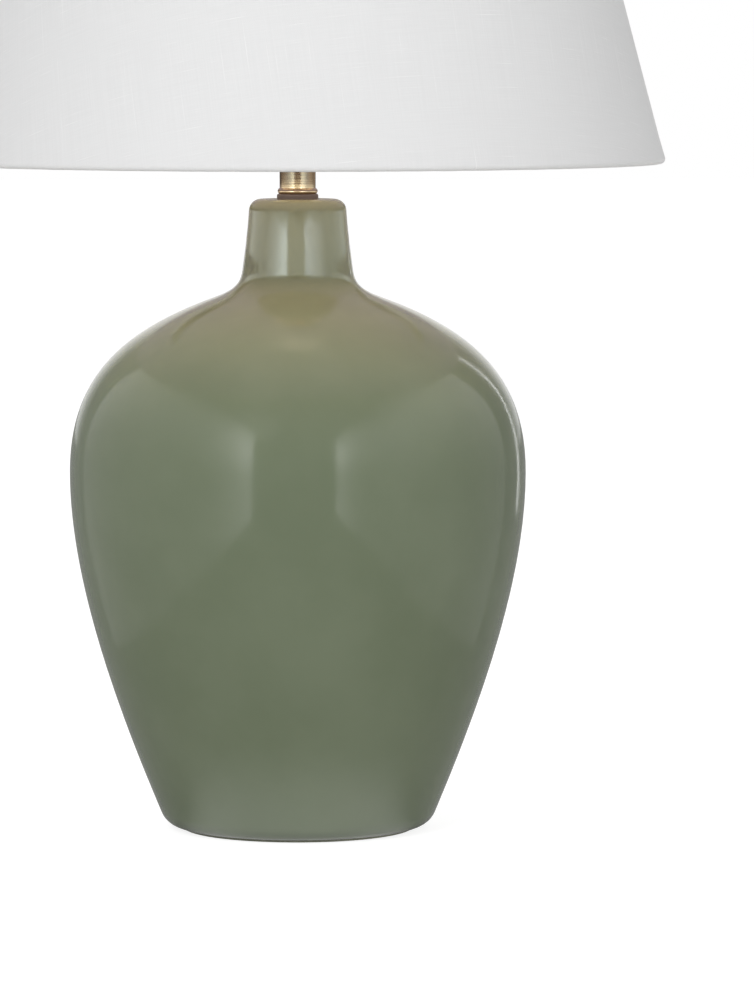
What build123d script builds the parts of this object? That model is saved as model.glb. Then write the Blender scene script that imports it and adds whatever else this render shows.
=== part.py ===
from build123d import *
from math import atan2, cos, degrees, hypot, radians, sin, sqrt
import os

# A table lamp: a glazed ceramic jar on a felt pad, a brass neck tube, a screw-shell socket with a
# turn switch, a bulb, a wire harp that two sleeves lock to its saddle, and a tapered drum shade
# that a finial holds down on the harp.
#
# Millimetres, +Z up, origin on the lamp's axis where the lamp stands. The front is -Y, the harp
# lies in the XZ plane, and the lead enters through a grommet low in the rear wall. Heights are
# worked out upwards from the felt pad, so that a changed size moves what stands on it.

# Clearances between pieces
ROD_CLEARANCE = 0.10  # radial, pieces screwed or slid over the centre rod
NEST_CLEARANCE = 0.10  # radial, pieces that nest in each other and stay there
HEM_CLEARANCE = 0.35  # radial, the cloth's hems on their ring wires
RUN_CLEARANCE = 0.10  # radial, pieces that turn or slide on each other
HOLE_CLEARANCE = 0.40  # radial, a hole that a moving piece only passes through
SEAT_GAP = 0.20  # axial, at a seat that nothing clamps

# Felt pad
FELT_RADIUS = 64.0
FELT_THICKNESS = 1.5

# Outer line of the ceramic jar, heights above its foot
FOOT_FLAT_RADIUS = 64.8  # where the foot's rounding starts
FOOT_ROUND = 12.4
FOOT_WALL_ANGLE = 22.7  # lean of the wall just above the foot, from vertical
FOOT_PULL = 61.0  # each pull is the length of one handle of the outline's curves
BELLY_RADIUS = 126.5
BELLY_HEIGHT = 197.0
BELLY_LOWER_PULL = 60.8
BELLY_UPPER_PULL = 48.4
SHOULDER_RADIUS = 46.4  # where the shoulder runs into the neck's root
SHOULDER_HEIGHT = 294.1
SHOULDER_SLOPE = 19.7  # slope of the shoulder there, from horizontal
SHOULDER_PULL = 60.0
ROOT_OUTER_PULL = 15.0
ROOT_INNER_PULL = 9.4
NECK_LOW_RADIUS = 30.1
NECK_LOW_HEIGHT = 312.9
NECK_LOW_LEAN = 6.9  # lean of the neck there, from vertical
NECK_TOP_RADIUS = 27.0
NECK_TOP_LEAN = 3.0
NECK_TOP_ROUND = 6.6
JAR_HEIGHT = 348.6

# Inside and underside of the jar
JAR_WALL = 6.0
INNER_ROUND_LEAST = 1.0  # smallest rounding that the inner line keeps
RECESS_MOUTH_RADIUS = 56.0
RECESS_ROOF_RADIUS = 52.0
RECESS_DEPTH = 14.0
RECESS_ROUND = 3.0
FLOOR_HOLE_RADIUS = 36.0  # the crossbar spans it, and the lead passes beside the bar
NECK_HOLE_RADIUS = 7.0

# Lead grommet in the rear wall
GROMMET_HEIGHT = 34.0  # above the foot
GROMMET_BODY_RADIUS = 7.2
GROMMET_BORE_RADIUS = 5.0
GROMMET_FLANGE_RADIUS = 10.5
GROMMET_FLANGE_THICKNESS = 2.0
GROMMET_FLANGE_ROUND = 0.8
GROMMET_TAIL = 2.2  # length that stands inside the jar
GROMMET_LIP_RADIUS = 8.2  # snap lip against the wall's inside

# Centre rod and its fixings under the jar
ROD_RADIUS = 5.0
ROD_BORE_RADIUS = 3.4
ROD_TAIL = 1.0  # below the bottom nut
CROSSBAR_LENGTH = 92.0
CROSSBAR_WIDTH = 24.0
CROSSBAR_THICKNESS = 2.0
CROSSBAR_END_ROUND = 7.0
STAR_WASHER_RADIUS = 8.6
STAR_WASHER_THICKNESS = 1.0
STAR_WASHER_TEETH = 12
STAR_WASHER_NOTCH = 1.3
BOTTOM_NUT_FLATS = 15.0
BOTTOM_NUT_THICKNESS = 3.6

# Neck hardware
GASKET_RADIUS = 11.45
GASKET_THICKNESS = 2.7
GASKET_BEVEL = 0.5
TUBE_RADIUS = 10.0
TUBE_WALL = 0.8
TUBE_HEIGHT = 34.0
BEAD_BULGE = 1.1
BEAD_HEIGHT = 3.3
CAP_RING_RADIUS = 11.0
CAP_RING_THICKNESS = 2.4
CAP_RING_BEVEL = 0.6
CAP_RING_SPIGOT = 3.0

# Harp saddle, a bent strip
SADDLE_THICKNESS = 1.8
SADDLE_HUB_RADIUS = 10.0
SADDLE_ARM_WIDTH = 9.0
SADDLE_SPAN = 59.0  # between the axes of the harp's legs
SADDLE_RISE = 15.0  # of its two shoulders above the plate
SADDLE_BEND = 7.0
TONGUE_WIDTH = 3.4
TONGUE_HEIGHT = 11.0
TONGUE_BEVEL = 0.7
SADDLE_NUT_FLATS = 15.0
SADDLE_NUT_THICKNESS = 3.2

# Harp, its sleeves and its swivel stud
WIRE_RADIUS = 2.0
HARP_HEIGHT = 241.3  # from the saddle's plate to the shade's seat, nine and a half inches
HARP_WIDTH = 114.0
LEG_STRAIGHT = 36.0  # from the shoulder to the leg's corner
BELLY_START = 90.0  # heights of the bow's widest stretch above the plate
BELLY_END = 155.0
CROWN_WIDTH = 42.0
LEG_BEND = 22.0
BELLY_LOWER_BEND = 98.0
BELLY_UPPER_BEND = 105.0
CROWN_BEND = 18.0
LAP_GAP = 0.2  # between a leg's half lap and its tongue
CROWN_PAD_RADIUS = 9.0
CROWN_PAD_THICKNESS = 2.4
SLEEVE_RADIUS = 4.2
SLEEVE_HEIGHT = 16.0
SLEEVE_BORE_RADIUS = 2.9
SLEEVE_COLLAR = 3.5  # close-fitting length at its top
SLEEVE_BEVEL = 0.4
STUD_RADIUS = 3.1
STUD_SEAT_RADIUS = 8.5
STUD_SEAT_THICKNESS = 2.0
STUD_HEAD_RADIUS = 5.2
STUD_HEAD_THICKNESS = 1.6
STUD_POST_HEIGHT = 13.0
STUD_BEVEL = 0.6

# Socket
SOCKET_HUB_RADIUS = 7.5
SOCKET_HUB_HEIGHT = 8.0
SOCKET_CAP_RADIUS = 17.7
SOCKET_CAP_HEIGHT = 12.5
SOCKET_CAP_ROUND = 3.8
SOCKET_METAL = 0.7
SHELL_HEIGHT = 50.0
SHELL_TUCK = 8.0  # length of the shell inside the cap
SHELL_LIP = 1.2
SHELL_BEAD_HEIGHT = 3.0
LINER_WALL = 0.7
CORE_HEIGHT = 26.0
CORE_BEVEL = 2.2
CORE_WIRE_SLOT = 9.0  # square slot under the core, where the wires come up
CORE_WIRE_SLOT_HEIGHT = 7.0
TERMINAL_POCKET_DEPTH = 3.2
TERMINAL_POCKET_LOW = 4.0
TERMINAL_POCKET_HEIGHT = 13.0
TERMINAL_RADIUS = 2.7
TERMINAL_LENGTH = 2.0
SCREW_SLOT_WIDTH = 0.8
SCREW_SLOT_DEPTH = 0.7
SCREW_SHELL_BORE_RADIUS = 13.3
SCREW_SHELL_METAL = 0.6
SCREW_SHELL_HEIGHT = 23.0
SCREW_SHELL_OPENING = 7.5  # radius of the hole in its floor
CONTACT_WIDTH = 5.0
CONTACT_THICKNESS = 0.8
CONTACT_RISE = 2.6
CONTACT_FOOT = 5.0  # length that lies on the core
SET_SCREW_RADIUS = 1.5
SET_SCREW_LENGTH = 4.0

# Turn switch, on the socket's front
SPINDLE_RADIUS = 1.6
SPINDLE_HEIGHT = 19.0  # above the underside of the socket's cap
SPINDLE_START = 5.0  # distances of its two ends from the lamp's axis
SPINDLE_END = 30.0
KNOB_RADIUS = 6.0
KNOB_LENGTH = 13.0
KNOB_GAP = 2.2  # between the knob and the socket
KNOB_SKIRT = 3.0  # plain length before the flutes
KNOB_FLUTES = 12
KNOB_FLUTE_RADIUS = 0.8
KNOB_ROUND = 1.0
KNOB_GRIP = 0.02  # radial gap of the pressed joint on the spindle

# Bulb
BULB_LENGTH = 110.0
BULB_RADIUS = 30.0
BULB_BASE_RADIUS = 13.0
BULB_BASE_LENGTH = 24.0
BULB_BASE_METAL = 0.5
BULB_TIP_RADIUS = 4.2
BULB_TIP_HEIGHT = 1.4
BULB_INSULATOR_HEIGHT = 3.6
HOUSING_HEIGHT = 30.0
HOUSING_RIM_RADIUS = 24.0
HOUSING_FOOT_PULL = 15.0
HOUSING_RIM_PULL = 16.0
HOUSING_RIM_LEAN = 28.0  # lean of the housing and the globe where they meet, from vertical
GLOBE_WALL = 1.2
GLOBE_PULL = 9.0
BOARD_THICKNESS = 2.0
BOARD_GAP = 0.4

# Shade and its spider
SHADE_BOTTOM_RADIUS = 203.2  # eight inches
SHADE_TOP_RADIUS = 127.0  # five inches
SHADE_HEIGHT = 286.8
FABRIC_THICKNESS = 0.6
LINER_THICKNESS = 0.8
RING_WIRE_RADIUS = 1.25
HEM_WRAP = 235.0  # degrees of the ring wire that the turned-over cloth covers
SEAM_WIDTH = 10.0
SPIDER_DROP = 25.4  # from the shade's top edge down to its seat, one inch
SPOKES = 3
SPOKE_RADIUS = 1.7
SPOKE_START = 8.6
SPOKE_FLAT = 24.0  # distance from the axis where a spoke turns up
SPOKE_BEND = 14.0
HUB_RADIUS = 12.5
HUB_THICKNESS = 1.6

# Finial
FINIAL_BASE_RADIUS = 6.6
FINIAL_BASE_HEIGHT = 3.2
FINIAL_WAIST_RADIUS = 4.9
FINIAL_BALL_HEIGHT = 21.0  # of the ball's middle above the finial's base
FINIAL_BALL_RADIUS = 9.0
FINIAL_TIP_RADIUS = 2.4
FINIAL_TIP_HEIGHT = 3.0
FINIAL_BORE_DEPTH = 14.0

# The stack, upwards from where the lamp stands
FOOT_Z = FELT_THICKNESS
JAR_TOP_Z = FOOT_Z + JAR_HEIGHT
ROOF_Z = FOOT_Z + RECESS_DEPTH
FLOOR_Z = ROOF_Z + JAR_WALL
CROSSBAR_Z = ROOF_Z - CROSSBAR_THICKNESS
STAR_WASHER_Z = CROSSBAR_Z - STAR_WASHER_THICKNESS
BOTTOM_NUT_Z = STAR_WASHER_Z - BOTTOM_NUT_THICKNESS
ROD_BOTTOM_Z = BOTTOM_NUT_Z - ROD_TAIL
TUBE_Z = JAR_TOP_Z + GASKET_THICKNESS
CAP_RING_Z = TUBE_Z + TUBE_HEIGHT
SADDLE_Z = CAP_RING_Z + CAP_RING_THICKNESS
PLATE_TOP_Z = SADDLE_Z + SADDLE_THICKNESS
SHOULDER_Z = PLATE_TOP_Z + SADDLE_RISE
SOCKET_Z = PLATE_TOP_Z + SADDLE_NUT_THICKNESS
CAP_FLOOR_Z = SOCKET_Z + SOCKET_HUB_HEIGHT
CAP_RIM_Z = CAP_FLOOR_Z + SOCKET_CAP_HEIGHT
SPINDLE_Z = CAP_FLOOR_Z + SPINDLE_HEIGHT
SHELL_Z = CAP_RIM_Z - SHELL_TUCK
SHELL_TOP_Z = SHELL_Z + SHELL_HEIGHT
CORE_Z = CAP_FLOOR_Z + SOCKET_METAL
CORE_TOP_Z = CORE_Z + CORE_HEIGHT
BULB_Z = CORE_TOP_Z + CONTACT_THICKNESS + CONTACT_RISE
INSULATOR_Z = BULB_Z + BULB_TIP_HEIGHT
BULB_BASE_Z = INSULATOR_Z + BULB_INSULATOR_HEIGHT
HOUSING_Z = BULB_Z + BULB_BASE_LENGTH
GLOBE_Z = HOUSING_Z + HOUSING_HEIGHT
BULB_TOP_Z = BULB_Z + BULB_LENGTH
SEAT_Z = PLATE_TOP_Z + HARP_HEIGHT
PAD_TOP_Z = SEAT_Z - STUD_SEAT_THICKNESS
PAD_Z = PAD_TOP_Z - CROWN_PAD_THICKNESS
HUB_TOP_Z = SEAT_Z + HUB_THICKNESS
SHADE_TOP_Z = SEAT_Z + SPIDER_DROP
SHADE_BOTTOM_Z = SHADE_TOP_Z - SHADE_HEIGHT

# Sizes that follow from nesting
ROD_HOLE_RADIUS = ROD_RADIUS + ROD_CLEARANCE
SHELL_RADIUS = SOCKET_CAP_RADIUS - SOCKET_METAL - NEST_CLEARANCE
SHELL_BORE_RADIUS = SHELL_RADIUS - SOCKET_METAL
LINER_RADIUS = SHELL_BORE_RADIUS - NEST_CLEARANCE
CORE_RADIUS = LINER_RADIUS - LINER_WALL - NEST_CLEARANCE
LEG_X = SADDLE_SPAN / 2
TONGUE_X = LEG_X + (LAP_GAP + SADDLE_THICKNESS) / 2
STUD_HOLE_RADIUS = STUD_RADIUS + RUN_CLEARANCE
SHADE_LEAN = atan2(SHADE_BOTTOM_RADIUS - SHADE_TOP_RADIUS, SHADE_HEIGHT)
SHADE_SLANT = hypot(SHADE_BOTTOM_RADIUS - SHADE_TOP_RADIUS, SHADE_HEIGHT)
HEM_BORE = RING_WIRE_RADIUS + HEM_CLEARANCE
HEM_RADIUS = HEM_BORE + FABRIC_THICKNESS

RISING = (Align.CENTER, Align.CENTER, Align.MIN)


def at(x, z):
    """A point in the XZ plane. A turned profile's x is its radius."""
    return Vector(x, 0, z)


def heading(angle):
    """A unit vector in the XZ plane, its angle in degrees from +X towards +Z."""
    return Vector(cos(radians(angle)), 0, sin(radians(angle)))


def arc(centre, radius, start, sweep_angle):
    """An arc in the XZ plane, from the heading start through sweep_angle degrees."""
    points = [centre + radius * heading(start + share * sweep_angle) for share in (0, 0.5, 1)]
    return ThreePointArc(*points)


def turned(*edges):
    """The solid that a closed profile sweeps about the lamp's axis."""
    return revolve(make_face(Curve() + list(edges)), Axis.Z)


def turned_points(*corners):
    """The same for a profile of straight lines between (radius, height) corners."""
    return turned(Polyline(*[at(*corner) for corner in corners], close=True))


def ring(bore, radius, low, high):
    """A plain disc, washer or tube on the lamp's axis."""
    return turned_points((bore, low), (radius, low), (radius, high), (bore, high))


def bent_rod(path, radius):
    """A round rod along a path."""
    return sweep(Plane(path @ 0, z_dir=path % 0) * Circle(radius), path)


def hex_nut(flats, thickness, low):
    """A hexagon nut on the centre rod, with the corners of both faces turned off."""
    corner = flats / 2 / cos(radians(30))
    blank = extrude(RegularPolygon(corner, 6), thickness)
    turning = Cone(flats / 2 + thickness * sqrt(3), flats / 2, thickness, align=RISING)
    flipped = Pos(0, 0, thickness) * Rot(180, 0, 0) * turning
    blank = blank & turning & flipped
    return Pos(0, 0, low) * (blank - Cylinder(ROD_HOLE_RADIUS, 3 * thickness))


def slotted_screw(radius, length):
    """A plain round screw with its slot across the top."""
    slot = Pos(0, 0, length) * Box(3 * radius, SCREW_SLOT_WIDTH, 2 * SCREW_SLOT_DEPTH)
    return Cylinder(radius, length, align=RISING) - slot


def to_front(distance, height):
    """The place of a piece whose own +Z points out of the lamp's front."""
    return Pos(0, -distance, height) * Rot(90, 0, 0)


# Jar


def jar_line(inset):
    """The jar's outline from the foot's flat to its flat top, moved inwards by inset."""
    foot_round = max(FOOT_ROUND - inset, INNER_ROUND_LEAST)
    top_round = max(NECK_TOP_ROUND - inset, INNER_ROUND_LEAST)
    up = heading(90)
    foot = arc(at(FOOT_FLAT_RADIUS, inset + foot_round), foot_round, -90, 90 - FOOT_WALL_ANGLE)
    belly = at(BELLY_RADIUS - inset, BELLY_HEIGHT)
    wall_lean = heading(90 - FOOT_WALL_ANGLE)
    lower = Bezier(foot @ 1, foot @ 1 + FOOT_PULL * wall_lean, belly - BELLY_LOWER_PULL * up, belly)
    slope = heading(180 - SHOULDER_SLOPE)
    shoulder = at(SHOULDER_RADIUS, SHOULDER_HEIGHT) + inset * heading(-90 - SHOULDER_SLOPE)
    upper = Bezier(belly, belly + BELLY_UPPER_PULL * up, shoulder - SHOULDER_PULL * slope, shoulder)
    low_lean = heading(90 + NECK_LOW_LEAN)
    neck_low = at(NECK_LOW_RADIUS, NECK_LOW_HEIGHT) + inset * heading(180 + NECK_LOW_LEAN)
    root = Bezier(
        shoulder, shoulder + ROOT_OUTER_PULL * slope, neck_low - ROOT_INNER_PULL * low_lean, neck_low
    )
    top_centre = at(NECK_TOP_RADIUS - inset - top_round, JAR_HEIGHT - inset - top_round)
    top = arc(top_centre, top_round, NECK_TOP_LEAN, 90 - NECK_TOP_LEAN)
    neck_pull = (top @ 0 - neck_low).length / 3
    top_lean = heading(90 + NECK_TOP_LEAN)
    neck = Bezier(neck_low, neck_low + neck_pull * low_lean, top @ 0 - neck_pull * top_lean, top @ 0)
    return [foot, lower, upper, root, neck, top]


def jar_form(inset):
    """The jar as a filled form, inset from its surface."""
    line = jar_line(inset)
    bottom, top = line[0] @ 0, line[-1] @ 1
    core = Polyline(top, at(0, top.Z), at(0, bottom.Z), bottom)
    return Pos(0, 0, FOOT_Z) * turned(*line, core)


def recess_form(wall):
    """The hollow under the jar, or with a wall, the raised floor that the hollow makes inside."""
    roof = ROOF_Z + wall
    form = turned_points(
        (0, FOOT_Z), (RECESS_MOUTH_RADIUS + wall, FOOT_Z), (RECESS_ROOF_RADIUS + wall, roof), (0, roof)
    )
    return fillet(form.edges().filter_by(GeomType.CIRCLE).sort_by(Axis.Z)[-1], RECESS_ROUND + wall)


def lower_wall(height):
    """The point of the jar's lower wall at a height above the foot, and the wall's normal there."""
    wall = jar_line(0)[1]
    low, high = 0.0, 1.0
    for _ in range(40):
        middle = (low + high) / 2
        if (wall @ middle).Z < height:
            low = middle
        else:
            high = middle
    along = wall % low
    return wall @ low, at(along.Z, -along.X)


def grommet_place():
    """The grommet's place: its origin on the rear wall's face, its +Z straight out of the wall."""
    point, normal = lower_wall(GROMMET_HEIGHT)
    outward = (0, normal.X, normal.Z)
    return Plane(origin=(0, point.X, FOOT_Z + point.Z), x_dir=(1, 0, 0), z_dir=outward).location


def ceramic_body():
    """A cast jar of even wall: the cavity follows the outside and runs down round the raised floor."""
    jar = jar_form(0) - (jar_form(JAR_WALL) - recess_form(JAR_WALL)) - recess_form(0)
    jar -= ring(0, FLOOR_HOLE_RADIUS, FOOT_Z, FLOOR_Z + JAR_WALL)
    jar -= ring(0, NECK_HOLE_RADIUS, JAR_TOP_Z - 2 * JAR_WALL, JAR_TOP_Z)
    lead_hole = Cylinder(GROMMET_BODY_RADIUS + NEST_CLEARANCE, 6 * JAR_WALL)
    return jar - grommet_place() * lead_hole


def cord_grommet():
    """A soft bush. Its flange follows the wall's curve, and a lip inside the wall holds it."""
    place = grommet_place()
    depth = JAR_WALL + GROMMET_TAIL
    tail = place * Pos(0, 0, -depth)
    bush = tail * Cylinder(GROMMET_BODY_RADIUS, depth + GROMMET_FLANGE_THICKNESS, align=RISING)
    lip = tail * Cylinder(GROMMET_LIP_RADIUS, depth, align=RISING) & jar_form(JAR_WALL + NEST_CLEARANCE)
    flange = Cylinder(GROMMET_FLANGE_RADIUS, 2 * GROMMET_FLANGE_THICKNESS)
    rim = flange.edges().filter_by(GeomType.CIRCLE).sort_by(Axis.Z)[-1]
    collar = place * fillet(rim, GROMMET_FLANGE_ROUND) - jar_form(-NEST_CLEARANCE)
    return bush + lip + collar - place * Cylinder(GROMMET_BORE_RADIUS, 6 * JAR_WALL)


def felt_pad():
    return ring(0, FELT_RADIUS, 0, FELT_THICKNESS)


# Rod and its fixings


def threaded_rod():
    return ring(ROD_BORE_RADIUS, ROD_RADIUS, ROD_BOTTOM_Z, CAP_FLOOR_Z)


def bottom_crossbar():
    """A flat bar across the hole in the jar's floor."""
    outline = RectangleRounded(CROSSBAR_LENGTH, CROSSBAR_WIDTH, CROSSBAR_END_ROUND)
    bar = Pos(0, 0, CROSSBAR_Z) * extrude(outline, CROSSBAR_THICKNESS)
    return bar - ring(0, ROD_HOLE_RADIUS, CROSSBAR_Z, ROOF_Z)


def bottom_lock_washer():
    """A star washer, its teeth left between the notches round its rim."""
    washer = ring(ROD_HOLE_RADIUS, STAR_WASHER_RADIUS, STAR_WASHER_Z, CROSSBAR_Z)
    notch = Pos(STAR_WASHER_RADIUS, 0, STAR_WASHER_Z) * Box(
        2 * STAR_WASHER_NOTCH, STAR_WASHER_NOTCH, 3 * STAR_WASHER_THICKNESS
    )
    return washer - PolarLocations(0, STAR_WASHER_TEETH) * notch


def bottom_nut():
    return hex_nut(BOTTOM_NUT_FLATS, BOTTOM_NUT_THICKNESS, BOTTOM_NUT_Z)


# Neck


def neck_gasket():
    return turned_points(
        (ROD_HOLE_RADIUS, JAR_TOP_Z),
        (GASKET_RADIUS, JAR_TOP_Z),
        (GASKET_RADIUS, TUBE_Z - GASKET_BEVEL),
        (GASKET_RADIUS - GASKET_BEVEL, TUBE_Z),
        (ROD_HOLE_RADIUS, TUBE_Z),
    )


def neck_tube():
    """A thin tube whose lower end is swelled into a round bead."""
    bore = TUBE_RADIUS - TUBE_WALL
    middle = TUBE_Z + BEAD_HEIGHT / 2
    top = TUBE_Z + BEAD_HEIGHT
    return turned(
        ThreePointArc(at(TUBE_RADIUS, TUBE_Z), at(TUBE_RADIUS + BEAD_BULGE, middle), at(TUBE_RADIUS, top)),
        Polyline(at(TUBE_RADIUS, top), at(TUBE_RADIUS, CAP_RING_Z), at(bore, CAP_RING_Z), at(bore, top)),
        ThreePointArc(at(bore, top), at(bore + BEAD_BULGE, middle), at(bore, TUBE_Z)),
        Line(at(bore, TUBE_Z), at(TUBE_RADIUS, TUBE_Z)),
    )


def neck_cap_ring():
    """The disc that closes the tube, with a spigot down its bore."""
    spigot = TUBE_RADIUS - TUBE_WALL - NEST_CLEARANCE
    return turned_points(
        (ROD_HOLE_RADIUS, CAP_RING_Z - CAP_RING_SPIGOT),
        (spigot, CAP_RING_Z - CAP_RING_SPIGOT),
        (spigot, CAP_RING_Z),
        (CAP_RING_RADIUS, CAP_RING_Z),
        (CAP_RING_RADIUS, SADDLE_Z - CAP_RING_BEVEL),
        (CAP_RING_RADIUS - CAP_RING_BEVEL, SADDLE_Z),
        (ROD_HOLE_RADIUS, SADDLE_Z),
    )


# Harp and its saddle


def harp_saddle():
    """A strip with a round hub on the rod, two arms bent up, and a narrow tongue on each arm."""
    middle = SADDLE_Z + SADDLE_THICKNESS / 2
    arm, corner = at(TONGUE_X, SHOULDER_Z), at(TONGUE_X, middle)
    path = FilletPolyline(at(-arm.X, arm.Z), at(-corner.X, corner.Z), corner, arm, radius=SADDLE_BEND)
    section = Plane(path @ 0, x_dir=(0, 1, 0), z_dir=path % 0) * Rectangle(SADDLE_ARM_WIDTH, SADDLE_THICKNESS)
    saddle = sweep(section, path) + ring(0, SADDLE_HUB_RADIUS, SADDLE_Z, PLATE_TOP_Z)
    saddle -= ring(0, ROD_HOLE_RADIUS, SADDLE_Z, PLATE_TOP_Z)
    tongue = Box(SADDLE_THICKNESS, TONGUE_WIDTH, TONGUE_HEIGHT, align=RISING)
    tongue = chamfer(tongue.edges().filter_by(Axis.X).sort_by(Axis.Z)[-2:], TONGUE_BEVEL)
    for side in (-1, 1):
        saddle += Pos(side * TONGUE_X, 0, SHOULDER_Z) * tongue
    return saddle


def saddle_nut():
    return hex_nut(SADDLE_NUT_FLATS, SADDLE_NUT_THICKNESS, PLATE_TOP_Z)


def harp_bow():
    """One bent wire, flattened round the stud at its crown, its feet cut back to half laps."""
    half = HARP_WIDTH / 2
    crown = PAD_TOP_Z - CROWN_PAD_THICKNESS / 2
    right = [
        at(LEG_X, SHOULDER_Z + SEAT_GAP),
        at(LEG_X, SHOULDER_Z + LEG_STRAIGHT),
        at(half, PLATE_TOP_Z + BELLY_START),
        at(half, PLATE_TOP_Z + BELLY_END),
        at(CROWN_WIDTH / 2, crown),
    ]
    left = [at(-point.X, point.Z) for point in reversed(right)]
    bends = [LEG_BEND, BELLY_LOWER_BEND, BELLY_UPPER_BEND, CROWN_BEND]
    bow = bent_rod(FilletPolyline(*right, *left, radius=bends + bends[::-1]), WIRE_RADIUS)
    press = Box(2 * CROWN_PAD_RADIUS, 4 * WIRE_RADIUS, 2 * WIRE_RADIUS, align=RISING)
    bow -= Pos(0, 0, PAD_TOP_Z) * press
    bow -= Pos(0, 0, PAD_Z - 2 * WIRE_RADIUS) * press
    bow += ring(0, CROWN_PAD_RADIUS, PAD_Z, PAD_TOP_Z)
    bow -= ring(0, STUD_HOLE_RADIUS, PAD_Z, PAD_TOP_Z)
    lap_height = TONGUE_HEIGHT + SEAT_GAP
    cut = Box(WIRE_RADIUS + LAP_GAP, 3 * WIRE_RADIUS, lap_height, align=(Align.MIN, Align.CENTER, Align.MIN))
    cut = Pos(LEG_X - LAP_GAP / 2, 0, SHOULDER_Z) * cut
    return bow - cut - mirror(cut, Plane.YZ)


def harp_sleeve(side):
    """A locking sleeve, close on the wire at its top and wide over the lapped joint below."""
    low, high = SHOULDER_Z, SHOULDER_Z + SLEEVE_HEIGHT
    collar_bore = WIRE_RADIUS + RUN_CLEARANCE
    sleeve = turned_points(
        (SLEEVE_BORE_RADIUS, low),
        (SLEEVE_RADIUS - SLEEVE_BEVEL, low),
        (SLEEVE_RADIUS, low + SLEEVE_BEVEL),
        (SLEEVE_RADIUS, high - SLEEVE_BEVEL),
        (SLEEVE_RADIUS - SLEEVE_BEVEL, high),
        (collar_bore, high),
        (collar_bore, high - SLEEVE_COLLAR),
        (SLEEVE_BORE_RADIUS, high - SLEEVE_COLLAR),
    )
    return Pos(side * LEG_X, 0, 0) * sleeve


def harp_sleeve_left():
    return harp_sleeve(-1)


def harp_sleeve_right():
    return harp_sleeve(1)


def harp_stud():
    """A swivel stud through the harp's crown: a head below, the shade's seat, and a post."""
    head_top = PAD_Z - SEAT_GAP
    post_top = SEAT_Z + STUD_POST_HEIGHT
    return turned_points(
        (0, head_top - STUD_HEAD_THICKNESS),
        (STUD_HEAD_RADIUS - STUD_BEVEL, head_top - STUD_HEAD_THICKNESS),
        (STUD_HEAD_RADIUS, head_top - STUD_HEAD_THICKNESS + STUD_BEVEL),
        (STUD_HEAD_RADIUS, head_top),
        (STUD_RADIUS, head_top),
        (STUD_RADIUS, PAD_TOP_Z),
        (STUD_SEAT_RADIUS, PAD_TOP_Z),
        (STUD_SEAT_RADIUS, SEAT_Z),
        (STUD_RADIUS, SEAT_Z),
        (STUD_RADIUS, post_top - STUD_BEVEL),
        (STUD_RADIUS - STUD_BEVEL, post_top),
        (0, post_top),
    )


# Socket and switch


def front_bore(clearance):
    """The bore in the socket's front that the switch spindle turns in or passes through."""
    return to_front(SPINDLE_START - SEAT_GAP, SPINDLE_Z) * Cylinder(
        SPINDLE_RADIUS + clearance, SPINDLE_END, align=RISING
    )


def socket_cap():
    """A spun cup on a threaded hub, with a hole in the hub's front for the set screw."""
    outer, inner = SOCKET_CAP_RADIUS, SOCKET_CAP_RADIUS - SOCKET_METAL
    flat = outer - SOCKET_CAP_ROUND
    bend = at(flat, CAP_FLOOR_Z + SOCKET_CAP_ROUND)
    cup = turned(
        Polyline(
            at(ROD_HOLE_RADIUS, CORE_Z),
            at(ROD_HOLE_RADIUS, SOCKET_Z),
            at(SOCKET_HUB_RADIUS, SOCKET_Z),
            at(SOCKET_HUB_RADIUS, CAP_FLOOR_Z),
            at(flat, CAP_FLOOR_Z),
        ),
        arc(bend, SOCKET_CAP_ROUND, -90, 90),
        Polyline(at(outer, bend.Z), at(outer, CAP_RIM_Z), at(inner, CAP_RIM_Z), at(inner, bend.Z)),
        arc(bend, SOCKET_CAP_ROUND - SOCKET_METAL, 0, -90),
        Line(at(flat, CORE_Z), at(ROD_HOLE_RADIUS, CORE_Z)),
    )
    hole = Cylinder(SET_SCREW_RADIUS + NEST_CLEARANCE, 2 * SOCKET_HUB_RADIUS, align=RISING)
    return cup - to_front(0, SOCKET_Z + SOCKET_HUB_HEIGHT / 2) * hole


def socket_set_screw():
    """The screw that locks the hub on the rod."""
    height = SOCKET_Z + SOCKET_HUB_HEIGHT / 2
    return to_front(ROD_HOLE_RADIUS, height) * slotted_screw(SET_SCREW_RADIUS, SET_SCREW_LENGTH)


def socket_shell():
    """The shell above the cap: a tube with a bead that meets the cap's rim, and a lip at its mouth."""
    bead_low = CAP_RIM_Z + SEAT_GAP
    bead_top = bead_low + SHELL_BEAD_HEIGHT
    mouth = SHELL_BORE_RADIUS - SHELL_LIP
    shell = turned(
        Polyline(at(SHELL_BORE_RADIUS, SHELL_Z), at(SHELL_RADIUS, SHELL_Z), at(SHELL_RADIUS, bead_low)),
        ThreePointArc(
            at(SHELL_RADIUS, bead_low),
            at(SOCKET_CAP_RADIUS, (bead_low + bead_top) / 2),
            at(SHELL_RADIUS, bead_top),
        ),
        Polyline(
            at(SHELL_RADIUS, bead_top),
            at(SHELL_RADIUS, SHELL_TOP_Z),
            at(mouth, SHELL_TOP_Z),
            at(mouth, SHELL_TOP_Z - SOCKET_METAL),
            at(SHELL_BORE_RADIUS, SHELL_TOP_Z - SOCKET_METAL),
            at(SHELL_BORE_RADIUS, SHELL_Z),
        ),
    )
    return shell - front_bore(HOLE_CLEARANCE)


def socket_liner():
    """The card tube between the shell and the live parts."""
    top = SHELL_TOP_Z - SOCKET_METAL - SEAT_GAP
    return ring(LINER_RADIUS - LINER_WALL, LINER_RADIUS, SHELL_Z, top) - front_bore(HOLE_CLEARANCE)


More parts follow.
